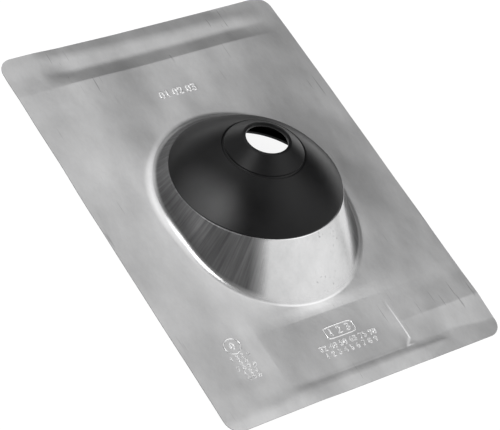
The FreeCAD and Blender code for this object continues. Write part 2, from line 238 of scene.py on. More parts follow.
SWELLS = [(1.75, 46.0, 22.0, 40.0, 60.0), (0.30, 88.0, -118.0, 26.0, 16.0), (0.22, 60.0, 112.0, 22.0, 16.0),
          (0.55, 74.0, -14.0, 16.0, 34.0)]
TERRACE_HEIGHT = 1.5
LOWEST = 1.1


def mound(x, y, height, middle_x, middle_y, spread_x, spread_y):
    """height times exp(-u^2 - v^2), with u and v the distances from the middle over the spreads."""
    return height * np.exp(-((x - middle_x) / spread_x) ** 2 - ((y - middle_y) / spread_y) ** 2)


def apron_relief(x, y):
    """Height of the apron over its flat level: ribs, pressed fields, swelling round the boss, a terrace
    behind its left, broad swells and slight waves. The swelling goes down from the boss's foot as
    exp(-distance / reach). Past LOWEST below the flat level all of it flattens out, above the floor."""
    distance = np.maximum(np.hypot(x, y - POLE) - foot_radius(np.arctan2(y - POLE, x)), 0.0)
    left_front = smooth_step(-x - 0.6 * y, -10.0, 70.0)
    rear = smooth_step(y, 30.0, 72.0) * (1.0 - 0.85 * smooth_step(-x, 0.0, 40.0))
    swelling = (0.42 + 0.65 * rear) * np.exp(-distance / 15.0) + 0.85 * left_front * np.exp(-distance / 8.5)
    swelling = swelling * smooth_fall(-y, 92.0, 104.0)
    waves = 0.20 * np.sin(x / 23.0 + 1.3) * np.cos(y / 31.0 - 0.4)
    waves = waves + 0.07 * np.sin(x / 11.0 - y / 17.0) + 0.08 * np.cos(x / 37.0 + y / 9.5 + 2.0)
    waves = waves * smooth_fall(np.abs(y), 120.0, 150.0)
    corner_drop = smooth_step(x, 70.0, 118.0) * smooth_step(y, 96.0, 162.0)
    terrace = TERRACE_HEIGHT * smooth_step(y, 22.0, 72.0) * smooth_fall(x, -75.0, -12.0)
    terrace = terrace * (1.0 - 0.3 * smooth_step(y, 84.0, 160.0))
    swells = terrace + sum(mound(x, y, *swell) for swell in SWELLS)
    formed = upper_rib(x, y) + lower_rib(x, y) + panel_press(x, y) + side_press(x, y)
    return soft_ramp(formed + swelling + swells + waves - corner_drop, -LOWEST, 0.08) - LOWEST


def graded_lines(stops):
    """Grid lines from the first stop to the last; a stop is a position and the spacing on the way to it."""
    pieces = [np.array([stops[0][0]])]
    for (start, _), (end, spacing) in zip(stops, stops[1:]):
        count = max(1, round((end - start) / spacing))
        pieces.append(np.linspace(start, end, count + 1)[1:])
    return np.concatenate(pieces)


def rounded_corner(before, corner, after, radius, steps):
    """Arc of that radius in place of a corner, as steps rows of points.

    With unit vectors u and v along the two sides and the angle b between them, the arc touches the sides at
    radius / tan(b / 2) from the corner. It is the rational quadratic curve on the two touching points and
    the corner, with the weight sin(b / 2) on the corner.
    """
    u = before - corner
    v = after - corner
    u = u / np.linalg.norm(u, axis=-1, keepdims=True)
    v = v / np.linalg.norm(v, axis=-1, keepdims=True)
    half = np.arccos(np.clip((u * v).sum(-1, keepdims=True), -1.0, 1.0)) / 2.0
    reach = radius / np.tan(half)
    weight = np.sin(half)
    t = np.linspace(0.0, 1.0, steps).reshape((-1,) + (1,) * corner.ndim)
    first = (1.0 - t) ** 2
    middle = 2.0 * t * (1.0 - t) * weight
    last = t ** 2
    total = first + middle + last
    return (first * (corner + u * reach) + middle * corner + last * (corner + v * reach)) / total


def between(start, end, steps):
    """steps rows of points on the straight way from start to end, both left out."""
    t = np.linspace(0.0, 1.0, steps + 2)[1:-1].reshape((-1,) + (1,) * start.ndim)
    return start + (end - start) * t


def add_mesh(name, points, faces, smooth=True):
    """Mesh object at the origin from points in millimetres and faces as rows of point numbers."""
    mesh = bpy.data.meshes.new(name)
    mesh.from_pydata((points * MM).tolist(), [], faces)
    mesh.polygons.foreach_set("use_smooth", np.full(len(mesh.polygons), smooth))
    mesh.update()
    item = bpy.data.objects.new(name, mesh)
    bpy.context.scene.collection.objects.link(item)
    return item


def grid_faces(numbers, closed=False):
    """Quads between neighbouring rows and columns of a table of point numbers; closed joins the last column
    to the first."""
    if closed:
        numbers = np.concatenate([numbers, numbers[:, :1]], axis=1)
    quads = np.stack([numbers[:-1, :-1], numbers[:-1, 1:], numbers[1:, 1:], numbers[1:, :-1]], -1)
    return quads.reshape(-1, 4)


BLOCK = (-80.0, 80.0, -99.5, 84.0)
x_lines = graded_lines([(-HALF_WIDTH, 0), (-106.5, 1.4), (-90, 2.0), (BLOCK[0], 1.2), (-61.5, 2.0),
                        (-56, 1.0), (38, 2.0), (45.4, 0.9), (46.6, 0.3), (54, 1.5), (BLOCK[1], 2.0),
                        (106.5, 2.0), (HALF_WIDTH, 1.4)])
y_lines = graded_lines([(-HALF_LENGTH, 0), (-156, 1.2), (-150.5, 0.8), (-146, 0.5), (-140.5, 1.0),
                        (-129, 1.9), (-127, 0.5), (-103, 2.0), (-101.5, 0.3), (BLOCK[2], 1.0),
                        (BLOCK[3], 2.0), (127, 2.2), (130, 0.5), (139, 1.6), (143.5, 0.75), (150, 1.4),
                        (157, 0.8), (HALF_LENGTH, 1.2)])
grid_x, grid_y = np.meshgrid(x_lines, y_lines)


def round_outline(x, y):
    """Carry the apron's square corners onto arcs: with u and v along the corner's sides from 0 to 1,
    u goes to u sqrt(1 - v^2 / 2) and v to v sqrt(1 - u^2 / 2)."""
    u = np.clip((np.abs(x) - HALF_WIDTH + CORNER) / CORNER, 0.0, 1.0)
    v = np.clip((np.abs(y) - HALF_LENGTH + CORNER) / CORNER, 0.0, 1.0)
    new_x = np.sign(x) * (np.abs(x) + CORNER * u * (np.sqrt(1.0 - v * v / 2.0) - 1.0))
    new_y = np.sign(y) * (np.abs(y) + CORNER * v * (np.sqrt(1.0 - u * u / 2.0) - 1.0))
    return new_x, new_y


apron_x, apron_y = round_outline(grid_x, grid_y)
apron = np.stack([apron_x, apron_y, UPPER_FACE + apron_relief(apron_x, apron_y)], -1)

left_column = int(np.argmin(np.abs(x_lines - BLOCK[0])))
right_column = int(np.argmin(np.abs(x_lines - BLOCK[1])))
near_row = int(np.argmin(np.abs(y_lines - BLOCK[2])))
far_row = int(np.argmin(np.abs(y_lines - BLOCK[3])))
point_numbers = np.arange(apron[..., 0].size).reshape(grid_x.shape)
block_edge = np.concatenate([point_numbers[near_row:far_row, right_column],
                             point_numbers[far_row, right_column:left_column:-1],
                             point_numbers[far_row:near_row:-1, left_column],
                             point_numbers[near_row, left_column:right_column]])
in_block = np.zeros((grid_x.shape[0] - 1, grid_x.shape[1] - 1), bool)
in_block[near_row:far_row, left_column:right_column] = True
apron_quads = grid_faces(point_numbers)[~in_block.ravel()]

edge_points = apron.reshape(-1, 3)[block_edge]
ray = np.arctan2(edge_points[:, 1] - POLE, edge_points[:, 0])
outwards = np.stack([np.cos(ray), np.sin(ray), np.zeros_like(ray)], -1)
pole = np.array([0.0, POLE, 0.0])


def on_rays(distance, height):
    """Points at those distances from the pole and those heights, one on each ray."""
    return pole + outwards * distance[:, None] + np.array([0.0, 0.0, 1.0]) * height[:, None]


FLANGE_STEPS = 2
SHOULDER_STEPS = 9
WALL_STEPS = 16
FOOT_STEPS = 14
RUN_STEPS = 15

hole_distance = ring_radius(ray, HOLE_RADIUS, SEAT_DROP)
hole = on_rays(hole_distance, seat_height(POLE + hole_distance * np.sin(ray), SEAT_DROP))
shoulder_distance = ring_radius(ray, SHOULDER_RADIUS, SEAT_DROP)
shoulder = on_rays(shoulder_distance, seat_height(POLE + shoulder_distance * np.sin(ray), SEAT_DROP))
foot_distance = foot_radius(ray)
foot_level = UPPER_FACE + apron_relief(foot_distance * np.cos(ray), POLE + foot_distance * np.sin(ray))
foot = on_rays(foot_distance, foot_level)
front_share = smooth_step(-np.sin(ray), -0.2, 0.9)[:, None]
foot_round = REAR_FOOT_ROUND + (FRONT_FOOT_ROUND - REAR_FOOT_ROUND) * front_share
beyond_foot = foot + outwards * RUN_SLOPE_REACH
beyond_foot[:, 2] = UPPER_FACE + apron_relief(beyond_foot[:, 0], beyond_foot[:, 1])
foot_arc = rounded_corner(shoulder, foot, beyond_foot, foot_round, FOOT_STEPS)
shoulder_arc = rounded_corner(hole, shoulder, foot, SHOULDER_ROUND, SHOULDER_STEPS)
flange = np.concatenate([hole[None], between(hole, shoulder_arc[0], FLANGE_STEPS)])
wall = between(shoulder_arc[-1], foot_arc[0], WALL_STEPS)
run_out = between(foot_arc[-1], edge_points, RUN_STEPS)
relief_there = UPPER_FACE + apron_relief(run_out[..., 0], run_out[..., 1])
arc_end_step = foot_arc[-1, :, 2] - UPPER_FACE - apron_relief(foot_arc[-1, :, 0], foot_arc[-1, :, 1])
settling = smooth_fall(np.linspace(0.0, 1.0, RUN_STEPS + 2)[1:-1, None], 0.0, 0.8)
run_out[..., 2] = relief_there + arc_end_step * settling
boss = np.concatenate([flange, shoulder_arc, wall, foot_arc, run_out])

boss_numbers = apron[..., 0].size + np.arange(boss[..., 0].size).reshape(boss.shape[:2])
boss_numbers = np.concatenate([boss_numbers, block_edge[None]])[::-1]
sheet_points = np.concatenate([apron.reshape(-1, 3), boss.reshape(-1, 3)])
sheet_quads = np.concatenate([apron_quads, grid_faces(boss_numbers, closed=True)])
used, compact = np.unique(sheet_quads, return_inverse=True)
sheet = add_mesh("base_sheet", sheet_points[used], compact.reshape(-1, 4).tolist())
solid = sheet.modifiers.new("sheet thickness", "SOLIDIFY")
solid.thickness = GAUGE * MM
solid.offset = -1.0
solid.use_even_offset = True
cut_round = sheet.modifiers.new("cut edge", "BEVEL")
cut_round.width = 0.13 * MM
cut_round.segments = 2
cut_round.limit_method = "ANGLE"
cut_round.angle_limit = math.radians(60.0)
cut_round.harden_normals = True


def add_node(tree, kind, **settings):
    """Node of that kind in tree, with its properties set from the keywords."""
    node = tree.nodes.new(kind)
    for key, setting in settings.items():
        setattr(node, key, setting)
    return node


def wire(tree, source, target):
    """Join an output socket to an input socket."""
    tree.links.new(source, target)


def stretched(tree, along=1.0, turn=0.0):
    """Object coordinates in metres, with Y multiplied by along and the result turned about Z."""
    place = add_node(tree, "ShaderNodeTexCoord")
    mapping = add_node(tree, "ShaderNodeMapping")
    mapping.inputs["Scale"].default_value = (1.0, along, 1.0)
    mapping.inputs["Rotation"].default_value = (0.0, 0.0, turn)
    wire(tree, place.outputs["Object"], mapping.inputs["Vector"])
    return mapping.outputs["Vector"]


def noise(tree, vector, scale, detail=3.0, roughness=0.5):
    """Fractal noise from about 0 to 1 on that vector, with scale in waves per metre."""
    node = add_node(tree, "ShaderNodeTexNoise")
    node.inputs["Scale"].default_value = scale
    node.inputs["Detail"].default_value = detail
    node.inputs["Roughness"].default_value = roughness
    wire(tree, vector, node.inputs["Vector"])
    return node.outputs["Fac"]


def remap(tree, value, span, onto=(0.0, 1.0), smooth=False):
    """value carried from one pair of ends onto another, held past them; smooth eases it in and out."""
    node = add_node(tree, "ShaderNodeMapRange")
    if smooth:
        node.interpolation_type = "SMOOTHSTEP"
    for socket, number in zip(("From Min", "From Max", "To Min", "To Max"), (*span, *onto)):
        node.inputs[socket].default_value = number
    wire(tree, value, node.inputs["Value"])
    return node.outputs["Result"]


def combine(tree, operation, first, second):
    """first and second, each a socket or a number, put through one arithmetic operation."""
    node = add_node(tree, "ShaderNodeMath", operation=operation)
    for place, item in enumerate((first, second)):
        if isinstance(item, (int, float)):
            node.inputs[place].default_value = item
        else:
            wire(tree, item, node.inputs[place])
    return node.outputs["Value"]


def bumped(tree, height, strength, distance, below=None):
    """Normal that leans with height, over the normal of the layer below it."""
    node = add_node(tree, "ShaderNodeBump")
    node.inputs["Strength"].default_value = strength
    node.inputs["Distance"].default_value = distance
    wire(tree, height, node.inputs["Height"])
    if below is not None:
        wire(tree, below, node.inputs["Normal"])
    return node.outputs["Normal"]


def tinted(tree, value, dark, light):
    """Colour between dark and light as value goes from 0 to 1."""
    node = add_node(tree, "ShaderNodeMix", data_type="RGBA")
    node.inputs["A"].default_value = (*dark, 1.0)
    node.inputs["B"].default_value = (*light, 1.0)
    wire(tree, value, node.inputs["Factor"])
    return node.outputs["Result"]


def blended(tree, share, below, over):
    """The colour over laid on the colour socket below by share."""
    node = add_node(tree, "ShaderNodeMix", data_type="RGBA")
    node.inputs["B"].default_value = (*over, 1.0)
    wire(tree, below, node.inputs["A"])
    wire(tree, share, node.inputs["Factor"])
    return node.outputs["Result"]


def place_axes(tree):
    """The three Object coordinates in metres, one socket each."""
    split = add_node(tree, "ShaderNodeSeparateXYZ")
    wire(tree, add_node(tree, "ShaderNodeTexCoord").outputs["Object"], split.inputs[0])
    return split.outputs["X"], split.outputs["Y"], split.outputs["Z"]


def joined(tree, x, y, z):
    """Vector from three sockets or numbers."""
    node = add_node(tree, "ShaderNodeCombineXYZ")
    for socket, item in zip(node.inputs, (x, y, z)):
        if isinstance(item, (int, float)):
            socket.default_value = item
        else:
            wire(tree, item, socket)
    return node.outputs["Vector"]


def length_of(tree, x, y):
    """sqrt(x^2 + y^2)."""
    squares = combine(tree, "ADD", combine(tree, "MULTIPLY", x, x), combine(tree, "MULTIPLY", y, y))
    return combine(tree, "SQRT", squares, 0.0)


def new_finish(name, **settings):
    """Material of that name with inputs of its shader set from the keywords, its tree and its shader."""
    material = bpy.data.materials.new(name)
    material.use_nodes = True
    shader = material.node_tree.nodes["Principled BSDF"]
    for key, setting in settings.items():
        shader.inputs[key.replace("_", " ")].default_value = setting
    return material, material.node_tree, shader


ZINC_DARK = (0.57, 0.57, 0.573)
ZINC_LIGHT = (0.73, 0.73, 0.733)
CUT_STEEL = (0.22, 0.22, 0.224)
# dark steel colour painted on the boss's side walls: painted shade in place of the floor they reflect
WALL_PAINTED_SHADE = (0.10, 0.10, 0.102)
LEFT_WALL_SKEW = 0.425
RIGHT_WALL_SKEW = 0.29
WALL_RADIUS = 65.0
DRAW_STRETCH = 0.05
RING_PITCH = 2.1


def galvanised_finish():
    """Zinc-coated sheet: cloudy patches, faint rolling lines along Y and a few scratches. The boss is
    burnished by the die, its side walls made rougher by galling, with draw lines, and painted dark as
    painted shade in place of the pale floor they would reflect, and rings run round its rear left. The cut
    edge is bare steel."""
    material, tree, shader = new_finish("galvanised_sheet", Metallic=1.0)
    x, y, z = place_axes(tree)

    clouds = noise(tree, stretched(tree, 0.55, 0.3), 24.0, 6.0, 0.62)
    grain = noise(tree, stretched(tree, 0.4), 700.0, 2.0)
    rolling = noise(tree, stretched(tree, 0.03), 380.0, 2.0)
    hollows = noise(tree, stretched(tree, 0.7, -0.5), 17.0, 1.0, 0.4)
    dimples = noise(tree, stretched(tree, 0.6, 0.9), 55.0, 3.0, 0.55)
    hairs = noise(tree, stretched(tree, 0.035, 0.12), 620.0, 1.0)
    scuff_places = remap(tree, noise(tree, stretched(tree, 1.0, 1.2), 15.0, 2.0), (0.5, 0.62))
    scuffs = noise(tree, stretched(tree, 1.7, 0.5), 210.0, 4.0, 0.65)
    scuffs = combine(tree, "MULTIPLY", scuffs, scuff_places)
    scratch_places = remap(tree, noise(tree, stretched(tree), 21.0, 1.0), (0.52, 0.64))
    scratches = combine(tree, "MULTIPLY", remap(tree, hairs, (0.68, 0.74)), scratch_places)

    # distance from the rectangle through the centres of the corner arcs, which is CORNER on the outline
    across = combine(tree, "SUBTRACT", combine(tree, "ABSOLUTE", x, 0.0), (HALF_WIDTH - CORNER) * MM)
    along = combine(tree, "SUBTRACT", combine(tree, "ABSOLUTE", y, 0.0), (HALF_LENGTH - CORNER) * MM)
    across = combine(tree, "MAXIMUM", across, 0.0)
    along = combine(tree, "MAXIMUM", along, 0.0)
    cut_edge = remap(tree, length_of(tree, across, along), ((CORNER - 0.14) * MM, (CORNER - 0.04) * MM))

    on_boss = remap(tree, z, (3.4 * MM, 6.5 * MM), smooth=True)
    left_of = combine(tree, "SUBTRACT", x, combine(tree, "MULTIPLY", y, LEFT_WALL_SKEW))
    right_of = combine(tree, "SUBTRACT", x, combine(tree, "MULTIPLY", y, RIGHT_WALL_SKEW))
    at_sides = combine(tree, "MAXIMUM",
                       remap(tree, left_of, (-20.0 * MM, -3.0 * MM), (1.0, 0.0), smooth=True),
                       remap(tree, right_of, (58.0 * MM, 68.0 * MM), smooth=True))
    # mask of the side walls: rougher from galling, and painted dark there as painted shade
    galling_and_painted_shade = combine(tree, "MULTIPLY", at_sides, remap(tree, z, (4.3 * MM, 6.8 * MM), smooth=True))

    turn = combine(tree, "ARCTAN2", combine(tree, "SUBTRACT", y, POLE * MM), x)
    round_wall = joined(tree, combine(tree, "MULTIPLY", turn, WALL_RADIUS * MM), 0.0,
                        combine(tree, "MULTIPLY", z, DRAW_STRETCH))
    draw_depth = combine(tree, "MULTIPLY", remap(tree, galling_and_painted_shade, (0.0, 1.0), (0.06, 0.6)), on_boss)
    draw_lines = combine(tree, "MULTIPLY", noise(tree, round_wall, 950.0, 2.0, 0.6), draw_depth)
    circle = length_of(tree, x, combine(tree, "SUBTRACT", y, REAR_FOOT[1] * MM))
    rings = combine(tree, "SINE", combine(tree, "MULTIPLY", circle, math.tau / (RING_PITCH * MM)), 0.0)
    rear_left = remap(tree, combine(tree, "SUBTRACT", y, x), (66.0 * MM, 92.0 * MM), smooth=True)
    wall_reach = ((REAR_FOOT[0] + 0.5) * MM, (REAR_FOOT[0] + 3.0) * MM)
    at_wall = remap(tree, circle, wall_reach, (1.0, 0.0), smooth=True)
    rings = combine(tree, "MULTIPLY", rings, combine(tree, "MULTIPLY", rear_left, at_wall))

    tone = combine(tree, "MULTIPLY", clouds, 0.9)
    tone = combine(tree, "ADD", tone, combine(tree, "MULTIPLY", grain, 0.1))
    colour = tinted(tree, remap(tree, tone, (0.34, 0.66)), ZINC_DARK, ZINC_LIGHT)
    streaks = remap(tree, noise(tree, round_wall, 420.0, 3.0, 0.6), (0.3, 0.7), (0.74, 0.95))
    # the side walls are painted dark here: painted shade standing in for a dark reflection
    colour = blended(tree, combine(tree, "MULTIPLY", galling_and_painted_shade, streaks), colour, WALL_PAINTED_SHADE)
    bare = combine(tree, "MAXIMUM", cut_edge, combine(tree, "MULTIPLY", scratches, 0.45))
    wire(tree, blended(tree, bare, colour, CUT_STEEL), shader.inputs["Base Color"])

    rough = remap(tree, clouds, (0.3, 0.7), (0.285, 0.345))
    rough = combine(tree, "MULTIPLY", rough, remap(tree, on_boss, (0.0, 1.0), (1.0, 0.62)))
    rough = combine(tree, "ADD", rough, combine(tree, "MULTIPLY", galling_and_painted_shade, 0.20))
    rough = combine(tree, "ADD", rough, combine(tree, "MULTIPLY", cut_edge, 0.3))
    wire(tree, rough, shader.inputs["Roughness"])

    normal = None
    for height, strength, depth in ((hollows, 0.45, 1.2), (dimples, 0.22, 0.5), (scuffs, 0.16, 0.3),
                                    (rolling, 0.035, 0.2), (draw_lines, 0.45, 0.25), (rings, 0.5, 0.05)):
        normal = bumped(tree, height, strength, depth * MM, normal)
    wire(tree, normal, shader.inputs["Normal"])
    return material


sheet.data.materials.append(galvanised_finish())
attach(sheet, "root")
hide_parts("base_flashing")

# ---------------------------------------------------------------------------------------------------------
# The marks in the sheet: plain numbers behind the boss, on the panel and beside it, and two plain outlines.
# They are part of the steel sheet, pressed up from below, rubbed bright and painted brighter still as a
# painted highlight.
# ---------------------------------------------------------------------------------------------------------

STROKE_HEIGHT = 0.55
TEXT_SIZE = 1.38


def pressed_number(text, height, x, y, stroke):
    """The numbers as raised strokes with rounded edges and a flat top, centred at x, y on the sheet."""
    curve = bpy.data.curves.new("marks", "FONT")
    curve.body = text
    curve.size = height * TEXT_SIZE
    curve.align_x = "CENTER"
    curve.align_y = "CENTER"
    curve.space_character = 1.1
    curve.bevel_depth = stroke
    curve.bevel_resolution = 3
    curve.resolution_u = 4
    letters = bpy.data.objects.new("marks", curve)
    mesh = bpy.data.meshes.new_from_object(letters)
    points = np.empty(len(mesh.vertices) * 3)
    mesh.vertices.foreach_get("co", points)
    points = points.reshape(-1, 3) * np.array([1.0, 1.0, STROKE_HEIGHT / stroke]) + np.array([x, y, 0.0])
    faces = [tuple(face.vertices) for face in mesh.polygons]
    bpy.data.objects.remove(letters)
    bpy.data.curves.remove(curve)
    bpy.data.meshes.remove(mesh)
    return points, faces


BEAD_HALF_WIDTH = 0.55
BEAD_STEPS = 7
RING_STEPS = 96


def pressed_ring(half_x, half_y, power, x, y):
    """Raised bead round an outline |x / a|^n + |y / b|^n = 1, with half a cosine wave for its section."""
    turn = np.linspace(0.0, math.tau, RING_STEPS + 1)[:-1]
    across = np.linspace(-1.0, 1.0, BEAD_STEPS)[:, None]
    ring_x = half_x * np.sign(np.cos(turn)) * np.abs(np.cos(turn)) ** (2.0 / power)
    ring_y = half_y * np.sign(np.sin(turn)) * np.abs(np.sin(turn)) ** (2.0 / power)
    grow = BEAD_HALF_WIDTH * across
    bead_x = x + ring_x * (1.0 + grow / half_x)
    bead_y = y + ring_y * (1.0 + grow / half_y)
    bead_z = STROKE_HEIGHT * np.cos(across * math.pi / 2.0) * np.ones(RING_STEPS)
    numbers = np.arange(BEAD_STEPS * RING_STEPS).reshape(BEAD_STEPS, RING_STEPS)
    faces = [tuple(face) for face in grid_faces(numbers[::-1], closed=True).tolist()]
    return np.stack([bead_x, bead_y, bead_z], -1).reshape(-1, 3), faces


BEHIND_BOSS = [("01", 6.2, -10.8, 100.0, 0.52), ("02", 6.2, 0.5, 100.2, 0.52),
               ("03", 6.2, 11.8, 100.0, 0.52)]
ON_PANEL = [("1 2 3", 6.0, 0.5, -118.0, 0.36), ("32 40 50 63 75 90", 4.3, 1.5, -127.8, 0.30),
            ("1 2 3 4 5 6 7 8 9", 4.3, 1.0, -133.6, 0.30)]
BESIDE_PANEL = [("0", 5.6, -80.0, -103.0, 0.36), ("1 2 3 4", 3.6, -79.5, -111.8, 0.24),
                ("5 6", 3.6, -79.0, -116.1, 0.24), ("7 8 9 0", 3.6, -79.0, -120.3, 0.24),
                ("1 2 3", 3.6, -78.5, -124.5, 0.24), ("4 5 6", 3.6, -78.0, -128.7, 0.24)]
OUTLINES = [(12.0, 4.6, 6.0, 0.5, -118.0), (6.0, 6.0, 2.0, -80.0, -103.0)]

marks = [pressed_number(*number) for number in BEHIND_BOSS + ON_PANEL + BESIDE_PANEL]
marks = marks + [pressed_ring(*outline) for outline in OUTLINES]
mark_points = np.concatenate([points for points, _ in marks])
mark_points[:, 2] += UPPER_FACE + apron_relief(mark_points[:, 0], mark_points[:, 1])
starts = np.cumsum([0] + [len(points) for points, _ in marks])
mark_faces = [tuple(number + start for number in face)
              for (_, faces), start in zip(marks, starts) for face in faces]
stamped_marks = add_mesh("stamped_marks", mark_points, mark_faces)

# bright zinc colours for the marks: rubbed metal, and a painted highlight on the strokes
RUBBED_AND_HIGHLIGHT_DARK = (0.78, 0.78, 0.783)
RUBBED_AND_HIGHLIGHT_LIGHT = (0.91, 0.91, 0.913)


def rubbed_and_highlight_finish():
    """The tops of the marks, rubbed brighter than the sheet and painted lighter as a painted highlight, with
    a faint grain.
    """
    material, tree, shader = new_finish("rubbed_and_highlight_marks", Metallic=1.0)
    wear = noise(tree, stretched(tree), 240.0)
    # the marks' colour is lighter than the sheet: partly a painted highlight
    colour = tinted(tree, remap(tree, wear, (0.3, 0.7)), RUBBED_AND_HIGHLIGHT_DARK, RUBBED_AND_HIGHLIGHT_LIGHT)
    wire(tree, colour, shader.inputs["Base Color"])
    wire(tree, remap(tree, wear, (0.3, 0.7), (0.34, 0.24)), shader.inputs["Roughness"])
    wire(tree, bumped(tree, wear, 0.1, 0.2 * MM), shader.inputs["Normal"])
    return material


stamped_marks.data.materials.append(rubbed_and_highlight_finish())
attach(stamped_marks, "root")

# ---------------------------------------------------------------------------------------------------------
# The pipe collar: one black rubber moulding turned about its own tilted axis. Its rim and grip ring hold the
# sheet between them, its bell rises to a thin tear-out groove, and its neck ends in a rounded pipe lip.
# ---------------------------------------------------------------------------------------------------------

SKIRT = [(47.7, -3.5, 0.5), (59.5, -3.5, 0.5), (59.5, -1.0, 0.2), (55.0, -1.0, 0.2), (55.0, -0.4, 0.15),
         (61.9, -0.4, 0.25)]
RIM = (61.9, 0.5)
GROOVE = [(29.9, 25.1, 0.3), (29.2, 24.45, 0.3), (27.9, 25.3, 0.25), (28.2, 26.2, 0.35)]
LIP = [(17.2, 34.7, 0.9), (15.0, 35.4, 0.5), (15.0, 32.4, 0.5), (17.6, 31.6, 0.5), (26.9, 24.45, 0.5)]
BELL_TOP = (28.8, 23.0)
BELL_FOOT = (52.5, 6.6)
GRIP_INSIDE = [(52.5, -1.0, 0.3), (47.7, -1.0, 0.4)]
BELL_ARCH = 118.0
BELL_SKIN = 2.4
ROUND_STEPS = 6
BELL_STEPS = 40
NECK_STEPS = 10
INSIDE_STEPS = 24


def arched(start, end, radius, steps):
    """Points strictly between start and end on the arc of that radius that bows away from the axis."""
    start = np.array(start)
    end = np.array(end)
    chord = end - start
    half = np.linalg.norm(chord) / 2.0
    inward = np.array([chord[1], -chord[0]]) / (2.0 * half)
    inward = inward if inward[0] + inward[1] < 0.0 else -inward
    centre = (start + end) / 2.0 + inward * math.sqrt(radius ** 2 - half ** 2)
    first = math.atan2(*(start - centre)[::-1])
    last = math.atan2(*(end - centre)[::-1])
    turn = np.linspace(first, last, steps + 2)[1:-1]
    return centre + radius * np.stack([np.cos(turn), np.sin(turn)], -1)


def plain(points):
    """Points with no rounding, as rows of radius, height and round."""
    return [(*point, 0.0) for point in points]


bell_outside = arched(RIM, GROOVE[0][:2], BELL_ARCH, BELL_STEPS)
neck = between(np.array(GROOVE[-1][:2]), np.array(LIP[0][:2]), NECK_STEPS)
bell_inside = arched(BELL_TOP, BELL_FOOT, BELL_ARCH - BELL_SKIN, INSIDE_STEPS)
corners = (SKIRT + [(*RIM, 0.4)] + plain(bell_outside) + GROOVE + plain(neck) + LIP
           + [(*BELL_TOP, 0.5)] + plain(bell_inside) + [(*BELL_FOOT, 0.4)] + GRIP_INSIDE)
section = []
for i, (radius, height, round_off) in enumerate(corners):
    corner = np.array([radius, height])
    if round_off:
        before = np.array(corners[i - 1][:2])
        after = np.array(corners[(i + 1) % len(corners)][:2])
        section.append(rounded_corner(before, corner, after, round_off, ROUND_STEPS))
    else:
        section.append(corner[None])
section = np.concatenate(section)


def about_collar(radius, height, turn):
    """Points in the sheet's frame from radius, height and turn about the collar's tilted axis."""
    across = radius * np.sin(turn)
    y = RIM_FORWARD + across * math.cos(COLLAR_TILT) + height * math.sin(COLLAR_TILT)
    z = RIM_HEIGHT - across * math.sin(COLLAR_TILT) + height * math.cos(COLLAR_TILT)
    return np.stack([radius * np.cos(turn), y, z], -1)


COLLAR_STEPS = 240
collar_turn = np.linspace(0.0, math.tau, COLLAR_STEPS + 1)[:-1]
collar_points = about_collar(section[:, :1], section[:, 1:], collar_turn[None, :])
collar_numbers = np.arange(collar_points[..., 0].size).reshape(collar_points.shape[:2])
collar_numbers = np.concatenate([collar_numbers, collar_numbers[:1]])
collar = add_mesh("collar_moulding", collar_points.reshape(-1, 3),
                  grid_faces(collar_numbers[::-1], closed=True).tolist())

RUBBER = (0.0030, 0.0030, 0.0033)
RUBBER_BLOOM = (0.0065, 0.0065, 0.0070)
# pale grey painted on the left of the bell beside its rim: a painted highlight
PAINTED_HIGHLIGHT_GREY = (0.075, 0.075, 0.076)
HIGHLIGHT_PLACE = (-56.0, -11.0, 30.0)
HIGHLIGHT_CORE = 4.0
HIGHLIGHT_REACH = 29.0


def rubber_finish():
    """Moulded black rubber: matte, with a faint cloudy bloom and fine pores. A pale patch is painted on the
    left of the bell, beside its rim: a painted highlight."""
    material, tree, shader = new_finish("collar_rubber", Specular_IOR_Level=0.20)
    bloom = noise(tree, stretched(tree), 38.0, 5.0, 0.6)
    pores = noise(tree, stretched(tree), 1500.0, 2.0, 0.6)
    x, y, z = place_axes(tree)
    # where the pale patch goes on the bell's left: a painted highlight
    from_side = combine(tree, "SUBTRACT", x, HIGHLIGHT_PLACE[0] * MM)
    from_front = combine(tree, "MULTIPLY", combine(tree, "SUBTRACT", y, HIGHLIGHT_PLACE[1] * MM), 0.7)
    from_foot = combine(tree, "SUBTRACT", z, HIGHLIGHT_PLACE[2] * MM)
    away = length_of(tree, length_of(tree, from_side, from_front), from_foot)
    painted_highlight = remap(tree, away, (HIGHLIGHT_CORE * MM, HIGHLIGHT_REACH * MM), (1.0, 0.0), smooth=True)
    painted_highlight = combine(tree, "MULTIPLY", painted_highlight, remap(tree, bloom, (0.3, 0.7), (0.8, 1.0)))
    black = tinted(tree, remap(tree, bloom, (0.35, 0.7)), RUBBER, RUBBER_BLOOM)
    wire(tree, blended(tree, painted_highlight, black, PAINTED_HIGHLIGHT_GREY), shader.inputs["Base Color"])
    wire(tree, remap(tree, bloom, (0.3, 0.7), (0.29, 0.39)), shader.inputs["Roughness"])
    normal = bumped(tree, bloom, 0.12, 0.6 * MM)
    wire(tree, bumped(tree, pores, 0.12, 0.1 * MM, normal), shader.inputs["Normal"])
    return material


collar.data.materials.append(rubber_finish())
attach(collar, "root")
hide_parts("pipe_collar")

# ---------------------------------------------------------------------------------------------------------
# The studio: a plain pale floor under the boot, inside a white tent. The tent is darker round the opening
# that the camera looks through and low down behind and left of the boot, and brightest above its left.
# ---------------------------------------------------------------------------------------------------------

FLOOR_REACH = 6.0
FLOOR_COLOUR = (0.85, 0.85, 0.85, 1.0)
SHADE_COLOUR = (0.17, 0.17, 0.17, 1.0)
SEEN_LEVEL = 0.90

floor_corners = np.array([[-1.0, -1.0, 0.0], [1.0, -1.0, 0.0], [1.0, 1.0, 0.0], [-1.0, 1.0, 0.0]])
floor = add_mesh("floor", floor_corners * FLOOR_REACH / MM, [(0, 1, 2, 3)], smooth=False)
floor_paint = bpy.data.materials.new("floor_paint")
floor_paint.use_nodes = True
tree = floor_paint.node_tree
tree.nodes.clear()
